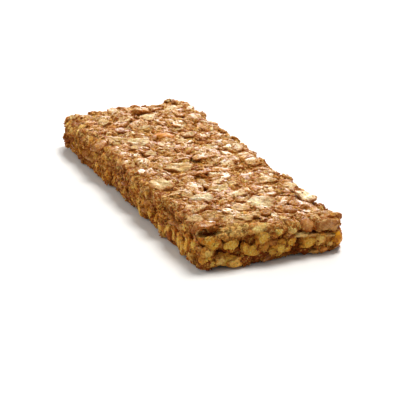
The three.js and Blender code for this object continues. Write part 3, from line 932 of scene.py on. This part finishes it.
# What is scattered over each face: how many for each square centimetre, sizes in mm, how deep each sits
# in what it rests on as a share of its thickness, the most it may stand proud, its tones, and how many of
# them are edge on.
scatterKeys = (
    "heap", "shape", "faces", "count", "length", "slim", "thick", "press", "most", "tone", "edgeOn", "seed",
)
onTop = ("top",)
upper = onTop + cutFaces
scatterRows = (
    ("crisps", "puff", cutFaces, 6, (2, 3.2), (0.75, 0.95), (1.8, 2.6), 0.7, 1.2, (2, 1.6), 0, 207),
    ("topFlakes", "smallFlake", onTop, 7.5, (3, 5.6), (0.5, 0.85), (0.8, 1.2), 0.5, 0.85, (1.6, 1.8), 0, 201),
    ("cutFlakes", "smallFlake", cutFaces, 7, (2.6, 5), (0.5, 0.8), (0.8, 1.2), 0.6, 0.8, (2, 2), 0.9, 202),
    ("baseFlakes", "smallFlake", ("base",), 7, (4, 7.5), (0.55, 0.85), (0.6, 0.8), 0.4, 0, (2, 2.4), 0, 203),
    ("lumps", "lump", upper, 12, (1.3, 3), (0.6, 0.9), (0.8, 1.6), 0.6, 0.9, (1.6, 1.6), 0, 204),
    ("shards", "crumb", upper, 5, (1.1, 2.8), (0.3, 0.6), (0.4, 0.7), 0.5, 1, (1.4, 1.8), 0, 206),
    ("crumbs", "crumb", cutFaces, 190, (0.3, 0.85), (0.45, 0.95), (0.25, 0.6), 0.5, 1.3, (1.3, 1.1), 0, 205),
    ("crumbs", "crumb", onTop, 60, (0.3, 1), (0.45, 0.9), (0.2, 0.5), 0.6, 1, (1.3, 1.1), 0, 208),
)
scatter = [dict(zip(scatterKeys, row)) for row in scatterRows]

# How far what is scattered keeps clear of a gap's rim in mm, and of a piece's middle as a share of its
# length. Crumbs may lie round the edges of the listed pieces.
keepClear = {"gap": 0.5, "crumb": 0.3, "piece": 0.45}


# Whether a place is in a gap, or on one of the listed pieces.
def isTaken(face, spot, crumb):
    for gap in gaps + hollows:
        if gap["face"] == face:
            u, v = ((spot[i] - gap["at"][i]) / (gap["size"][i] / 2 + keepClear["gap"]) for i in (0, 1))
            if u * u + v * v < 1:
                return True
    reach = keepClear["crumb" if crumb else "piece"]
    laid = [piece for piece in chosen + details if piece["face"] == face]
    return any(math.dist(piece["at"], spot) < reach * piece["size"][0] for piece in laid)


# How edge-on pieces turn, tip and stand proud, and how much less the sloping ones may stand proud.
laying = {"margin": 0.3, "sway": 0.22, "tip": 0.25, "proud": (0.05, 0.45), "edgeWidth": 0.3, "slopeLoss": 0.3}


def layScatter(rule):
    draw = np.random.default_rng(rule["seed"])
    heap = heaps[rule["heap"]]
    group = shapes[rule["shape"]]
    for face in rule["faces"]:
        reach, low, high = faces[face]["reach"]
        count = round(rule["count"] * 2 * reach * (high - low) / 100)
        margin = rule["length"][1] / 2 if face == "base" else laying["margin"]
        a = draw.uniform(-reach + margin, reach - margin, count)
        b = draw.uniform(low + margin, high - margin, count)
        free = [not isTaken(face, spot, rule["shape"] == "crumb") for spot in zip(a, b)]
        a, b = a[free], b[free]
        count = len(a)
        spots, frames = faceFrames(face, a, b)
        relief = reliefs[face]
        for i in range(count):
            length = draw.uniform(*rule["length"])
            size = np.array((length, length * draw.uniform(*rule["slim"]), draw.uniform(*rule["thick"])))
            if rule["heap"] in ("lumps", "crumbs"):
                size[2] = min(size[2], length)
            tone, hue = draw.beta(*rule["tone"]), draw.uniform()
            shape = group[draw.integers(len(group))]
            frameThere = frames[i]
            out = frameThere[:, 2]
            if draw.uniform() < rule["edgeOn"]:
                turn = draw.normal(0, laying["sway"])
                half = (size[0] / 2, size[2] / 2 + laying["edgeWidth"])
                height, _, _ = relief.rest(a[i], b[i], half, turn)
                proud = min(height + draw.uniform(*laying["proud"]), rule["most"])
                tip = turnMatrix(draw.normal(0, laying["tip"]), "X")
                basis = tippedUp(frameThere) @ tip @ turnMatrix(turn, "Y")
                heap.add(shape, size, basis, spots[i] + out * (proud - size[1] / 2), spots[i], out, tone, hue)
                relief.stamp(a[i], b[i], (size[0] / 2, size[2] / 2), turn, proud, size[1] / 2)
                continue
            turn = draw.uniform(0, 2 * math.pi)
            height, slopeU, slopeV = relief.rest(a[i], b[i], size[:2] / 2, turn)
            most = rule["most"] - laying["slopeLoss"] * abs(slopeU) * size[0]
            top = min(height + size[2] * (1 - rule["press"]), most)
            flat = frameThere @ turnMatrix(turn, "Z")
            alongPiece = flat[:, 0] + slopeU * out
            alongPiece /= np.linalg.norm(alongPiece)
            outPiece = np.cross(alongPiece, flat[:, 1] + slopeV * out)
            outPiece /= np.linalg.norm(outPiece)
            basis = np.stack((alongPiece, np.cross(outPiece, alongPiece), outPiece), axis=1)
            heap.add(shape, size, basis, spots[i] + out * (top - size[2] / 2), spots[i], out, tone, hue)
            relief.stamp(a[i], b[i], size[:2] / 2, turn, top, size[2] / 2, (slopeU, slopeV))


def tint(red, green, blue):
    def linear(value):
        value /= 255
        return value / 12.92 if value <= 0.04045 else ((value + 0.055) / 1.055) ** 2.4

    return (linear(red), linear(green), linear(blue), 1)


# A socket that takes part in Python expressions, each of which adds its Math node.
class Wire:
    def __init__(self, finish, socket):
        self.finish, self.socket = finish, socket

    def math(self, operation, *others):
        return self.finish.add("ShaderNodeMath", {"operation": operation}, dict(enumerate((self, *others))))

    def after(self, operation, other):
        return self.finish.add("ShaderNodeMath", {"operation": operation}, {0: other, 1: self})

    def __add__(self, other):
        return self.math("ADD", other)

    def __radd__(self, other):
        return self.after("ADD", other)

    def __sub__(self, other):
        return self.math("SUBTRACT", other)

    def __rsub__(self, other):
        return self.after("SUBTRACT", other)

    def __mul__(self, other):
        return self.math("MULTIPLY", other)

    def __rmul__(self, other):
        return self.after("MULTIPLY", other)


gloss = {
    "glazed": {"Specular IOR Level": 0.16, "Coat Roughness": 0.28},
    "dry": {"Specular IOR Level": 0.1},
}
subsurface = {
    "Subsurface Weight": 0.3,
    "Subsurface Radius": (1, 0.5, 0.2),
    "Subsurface Scale": 0.7 * mm,
}
socketNames = {"colour": "Base Color", "roughness": "Roughness", "coat": "Coat Weight", "normal": "Normal"}
# Painted light and shade for the top and the cut faces, and the gamma that deepens the darks.
faceLightTints = {"top": (1.06, 1.22, 1.14, 1), "cut": (0.96, 0.87, 0.49, 1), "gamma": 1.12}
grainTints = {"pale": (252, 220, 156), "dark": (120, 56, 8)}


class Finish:
    def __init__(self, name):
        self.material = bpy.data.materials.new(name + "Finish")
        self.material.use_nodes = True
        self.tree = self.material.node_tree
        self.shader = self.tree.nodes["Principled BSDF"]
        self.colour = None  # what has been built up so far

    # Adds a node: its settings first, then the values or links of its sockets.
    def add(self, kind, settings=None, inputs=None, output=0):
        node = self.tree.nodes.new(kind)
        for key, value in (settings or {}).items():
            if key == "stops":
                ramp = node.color_ramp
                while len(ramp.elements) < len(value):
                    ramp.elements.new(0.5)
                for element, (position, colour) in zip(ramp.elements, value):
                    element.position = position
                    element.color = tint(*colour)
            else:
                setattr(node, key, value)
        for key, value in (inputs or {}).items():
            self.feed(node.inputs[key], value)
        return Wire(self, node.outputs[output])

    def feed(self, socket, value):
        if isinstance(value, Wire):
            self.tree.links.new(value.socket, socket)
        else:
            socket.default_value = value

    def value(self, name):
        return self.add("ShaderNodeAttribute", {"attribute_name": name}, output="Fac")

    def grain(self):
        return self.add("ShaderNodeAttribute", {"attribute_name": "grain"}, output="Vector")

    # The place on the bar in mm.
    def place(self):
        spot = self.add("ShaderNodeTexCoord", output="Object")
        return self.add("ShaderNodeVectorMath", {"operation": "SCALE"}, {0: spot, "Scale": 1 / mm})

    def stretch(self, vector, scale):
        return self.add("ShaderNodeMapping", None, {"Vector": vector, "Scale": scale})

    def noise(self, vector, scale, detail=3, roughness=0.55):
        inputs = {"Vector": vector, "Scale": scale, "Detail": detail, "Roughness": roughness}
        return self.add("ShaderNodeTexNoise", None, inputs)

    def cells(self, vector, scale, output="Distance"):
        return self.add("ShaderNodeTexVoronoi", None, {"Vector": vector, "Scale": scale}, output)

    def fade(self, value, low, high):
        inputs = {"Value": value, "From Min": low, "From Max": high}
        return self.add("ShaderNodeMapRange", {"interpolation_type": "SMOOTHSTEP"}, inputs)

    # A colour ramp, from stops of a position and a red, green and blue up to 255.
    def ramp(self, value, *stops):
        return self.add("ShaderNodeValToRGB", {"stops": stops}, {"Fac": value})

    def blend(self, share, under, over, how="MIX"):
        settings = {"data_type": "RGBA", "blend_type": how, "clamp_factor": True}
        return self.add("ShaderNodeMix", settings, {0: share, 6: under, 7: over}, output=2)

    # Lays a colour over the finish's own, by the share given.
    def stain(self, share, *shade):
        self.colour = self.blend(share, self.colour, tint(*shade))

    # Darkens what lies deep between other pieces: painted shade, with some of the darker syrup that gathers
    # there.
    def creviceShadeAndSyrup(self, low, high, share, *shade):
        self.stain((1 - self.fade(self.value("lift"), low, high)) * share, *shade)

    # Grains of baked crumb, some paler and some darker than what they lie on.
    def grains(self, vector, scale, share):
        uneven = self.noise(vector, scale * 1.7, 3, 0.7) - 0.5
        dots = 1 - self.fade(self.cells(vector, scale) + 1.6 * uneven, 0.15, 0.75)
        luck = self.cells(vector, scale, output="Color")
        self.stain(self.fade(luck, 0.5, 0.7) * dots * share, *grainTints["pale"])
        self.stain(self.fade(1 - luck, 0.48, 0.7) * share, *grainTints["dark"])

    # The bumps of baked crumb, on top of those of what it lies on.
    def crumbly(self, vector, under=None):
        coarse = self.bump(self.fade(self.cells(vector, 2.2), 0, 0.6), 0.22, 0.9, under)
        return self.bump(self.noise(vector, 5, 3, 0.7), 0.16, 0.9, coarse)

    # A ragged film of browned syrup over everything: how much there is of it, and its colour.
    def syrup(self, place):
        film = self.fade(self.noise(place, 0.3, 5, 0.62), 0.44, 0.62)
        shades = (0.3, (146, 72, 12)), (0.52, (196, 118, 36)), (0.72, (230, 176, 94))
        return film, self.ramp(self.noise(place, 1.6, 4, 0.65), *shades)

    def bump(self, height, distance, strength=1, normal=None):
        inputs = {"Height": height, "Distance": distance * mm, "Strength": strength}
        if normal:
            inputs["Normal"] = normal
        return self.add("ShaderNodeBump", None, inputs)

    # Painted light and shade: the glazed top is made lighter, and the cut faces darker and deeper in colour,
    # as light falls on them; a gamma deepens the darks, as light bounced between crumbs would.
    def paintedFaceLight(self):
        depth = self.blend(self.value("cut"), faceLightTints["top"], faceLightTints["cut"])
        rich = self.add("ShaderNodeGamma", None, {"Color": self.colour, "Gamma": faceLightTints["gamma"]})
        return self.blend(1.0, rich, depth, "MULTIPLY")

    def finish(self, **inputs):
        for key, value in {"colour": self.paintedFaceLight(), **inputs, **subsurface}.items():
            self.feed(self.shader.inputs[socketNames.get(key, key)], value)
        return self.material


# From browned to pale.
flakeTints = {
    "straw": (
        (0, (196, 114, 32)), (0.3, (198, 136, 60)), (0.65, (213, 163, 101)), (0.9, (235, 193, 142)),
        (1, (251, 223, 182)),
    ),
    "rosy": (
        (0, (158, 92, 36)), (0.35, (186, 124, 60)), (0.7, (208, 160, 104)), (0.92, (232, 194, 150)),
        (1, (247, 218, 188)),
    ),
}


def flakeFinish(name):
    f = Finish(name)
    rim, tone, hue, lift = (f.value(key) for key in ("rim", "tone", "hue", "lift"))
    grain, place = f.grain(), f.place()
    strands = f.noise(f.stretch(grain, (0.35, 3, 1.4)), 1.0, 4)
    mottle = f.noise(grain, 0.9, 3)
    toast = f.noise(place, 0.13, 3)
    straw = f.ramp(tone, *flakeTints["straw"])
    rosy = f.ramp(tone, *flakeTints["rosy"])
    f.colour = f.blend(hue, straw, rosy)
    f.stain(f.fade(strands, 0.42, 0.68) * 0.7, 170, 102, 38)
    f.stain(f.fade(mottle, 0.52, 0.74) * 0.4, 246, 224, 176)
    browned = f.fade(rim + 0.5 * (mottle - 0.5), 0.7, 1.04)
    f.stain(browned * (0.75 - 0.65 * f.value("cut")), 184, 96, 18)
    f.stain(f.fade(toast, 0.5, 0.66) * 0.3, 176, 100, 32)
    film, syrup = f.syrup(place)
    f.colour = f.blend(film * (0.15 + 0.85 * f.fade(1 - tone, 0, 0.9)), f.colour, syrup)
    f.grains(grain, 2.2, 0.36 - 0.22 * tone)
    # Painted shade deep between pieces, with some darker syrup.
    f.creviceShadeAndSyrup(-0.9, 0.35, 0.7, 148, 72, 14)
    relief = strands * 0.7 + mottle * 0.5 + film * 0.5
    normal = f.crumbly(grain, f.bump(relief, 0.5, 0.9))
    shine = f.fade(lift, 0.1, 0.8) * f.fade(f.noise(place, 0.5, 5, 0.7), 0.42, 0.6)
    return f.finish(roughness=0.52, coat=0.6 * shine, normal=normal, **gloss["glazed"])


def crispFinish(name):
    f = Finish(name)
    skin, pore, tone, hue, lift = (f.value(key) for key in ("rim", "pore", "tone", "hue", "lift"))
    grain = f.grain()
    grit = f.fade(f.cells(grain, 2.1) + 1.4 * (f.noise(grain, 3, 4, 0.75) - 0.5), 0.1, 0.7)
    mottle = f.noise(grain, 0.7, 4, 0.65)
    f.colour = f.ramp(tone, (0, (162, 80, 20)), (0.6, (204, 114, 32)), (1, (228, 152, 60)))
    f.grains(grain, 2.2, 0.5)
    baked = f.colour
    gold = f.ramp(tone, (0, (224, 150, 60)), (0.5, (246, 190, 88)), (1, (255, 216, 122)))
    pale = f.ramp(tone, (0, (226, 170, 112)), (0.5, (246, 196, 140)), (1, (255, 218, 170)))
    f.colour = f.blend(hue, gold, pale)
    # The pale inside shows between the grit everywhere, and more where the crisp stands furthest out, which is
    # a painted highlight; the grit is darker towards the sides, painted shade.
    middle = f.fade(lift + 2 * (mottle - 0.5), -0.1, 1.2)
    f.stain((1 - grit) * (0.2 + 0.7 * middle), 255, 232, 170)
    f.stain(grit * (0.6 - 0.4 * middle), 198, 124, 40)
    # Painted shade: darker in the pores.
    f.stain(f.fade(pore, 0.3, 1) * 0.6, 172, 94, 20)
    browned = f.fade(0.6 * skin + 1.6 * (f.noise(grain, 0.35, 2) - 0.5), 0.25, 0.85)
    f.colour = f.blend(browned * 0.85, f.colour, baked)
    # Painted shade deep between pieces, with some darker syrup.
    f.creviceShadeAndSyrup(-1.1, 0, 0.75, 134, 60, 8)
    normal = f.bump(f.noise(grain, 4, 3, 0.7), 0.15, 0.9, f.bump(1 - grit, 0.25, 0.9))
    return f.finish(roughness=0.5, normal=normal, **gloss["dry"])


def massFinish(name):
    f = Finish(name)
    place = f.place()
    grit = f.noise(place, 1.4, 4)
    blotch = f.noise(place, 0.22, 3)
    shades = (0, (134, 66, 12)), (0.4, (170, 100, 32)), (0.75, (198, 136, 58)), (1, (218, 166, 90))
    f.colour = f.ramp(f.value("tone"), *shades)
    f.stain(f.fade(grit, 0.4, 0.75) * 0.5, 124, 60, 14)
    f.stain(f.fade(blotch, 0.44, 0.7) * 0.5, 150, 80, 26)
    f.grains(place, 2, 0.45)
    # Painted shade deep between pieces, with some darker syrup.
    f.creviceShadeAndSyrup(-1.5, -0.3, 0.8, 112, 48, 6)
    normal = f.crumbly(place, f.bump(grit, 0.3, 0.8))
    return f.finish(roughness=0.6, normal=normal, **gloss["dry"])


def crumbFinish(name):
    f = Finish(name)
    tone = f.value("tone")
    grain = f.grain()
    grit = f.noise(grain, 1.6, 4)
    gold = f.ramp(tone, (0, (150, 78, 16)), (0.5, (194, 120, 40)), (1, (232, 182, 106)))
    brown = f.ramp(tone, (0, (132, 64, 18)), (0.5, (174, 98, 42)), (1, (214, 158, 96)))
    f.colour = f.blend(f.value("hue"), gold, brown)
    f.stain(f.fade(grit, 0.4, 0.74) * 0.5, 142, 70, 12)
    f.grains(grain, 2.2, 0.5)
    # Painted shade deep between pieces, with some darker syrup.
    f.creviceShadeAndSyrup(-0.8, 0.3, 0.6, 116, 52, 8)
    return f.finish(roughness=0.5, normal=f.crumbly(grain), **gloss["dry"])


def fruitFinish(name):
    f = Finish(name)
    grain = f.grain()
    veins = f.noise(grain, 0.8, 4)
    f.colour = f.ramp(f.value("tone"), (0, (172, 100, 30)), (0.5, (200, 126, 34)), (1, (236, 176, 40)))
    f.stain(f.fade(veins, 0.38, 0.68) * 0.6, 186, 104, 20)
    f.stain(f.fade(f.noise(grain, 0.4, 3), 0.42, 0.62) * 0.6, 158, 82, 18)
    f.stain(f.fade(f.noise(grain, 1.2, 3), 0.5, 0.74) * 0.5, 244, 190, 84)
    # Painted shade deep between pieces, with some darker syrup.
    f.creviceShadeAndSyrup(-0.6, 0.3, 0.8, 96, 44, 12)
    normal = f.bump(veins, 0.35, 0.9)
    return f.finish(roughness=0.5, coat=0.15, normal=normal, **gloss["glazed"])


def nutFinish(name):
    f = Finish(name)
    grain = f.grain()
    veins = f.noise(f.stretch(grain, (0.5, 2, 2)), 0.9, 4)
    f.colour = f.ramp(f.value("tone"), (0, (150, 74, 14)), (0.5, (198, 126, 50)), (1, (222, 174, 104)))
    f.stain(f.fade(veins, 0.36, 0.68) * 0.75, 156, 84, 22)
    f.grains(grain, 2, 0.3)
    # Painted highlight: paler where the nut stands furthest out.
    f.stain(f.fade(f.value("lift"), 0.4, 1.6) * 0.3, 228, 172, 104)
    # Painted shade deep between pieces, with some darker syrup.
    f.creviceShadeAndSyrup(-0.6, 0.5, 0.8, 120, 52, 10)
    normal = f.bump(veins, 0.25, 0.8)
    coat = 0.4 - 0.3 * f.value("cut")
    return f.finish(roughness=0.5, coat=coat, normal=normal, **gloss["glazed"])


makeCamera()
makeStudio()
makeMass("oatMass", massFinish)
print("oat mass made")

spreadAll = [piece for face in spread for piece in spreadPieces(face)]
draw = np.random.default_rng(packed["seed"])
for piece in spreadAll + chosen + details:
    layPacked(piece, draw)
for rule in scatter:
    layScatter(rule)
print("pieces laid")

for name in ("topFlakes", "cutFlakes", "baseFlakes"):
    heaps[name].make(name, flakeFinish, "oat_flake")
heaps["crisps"].make("crisps", crispFinish, "cereal_crisp")
heaps["lumps"].make("lumps", crumbFinish, "baked_oats")
heaps["crumbs"].make("crumbs", crumbFinish, "baked_oats", smooth=False)
heaps["shards"].make("shards", flakeFinish, "oat_flake", smooth=False)
heaps["fruitBits"].make("fruitBits", fruitFinish, "fruit")
heaps["nutBits"].make("nutBits", nutFinish, "nut")
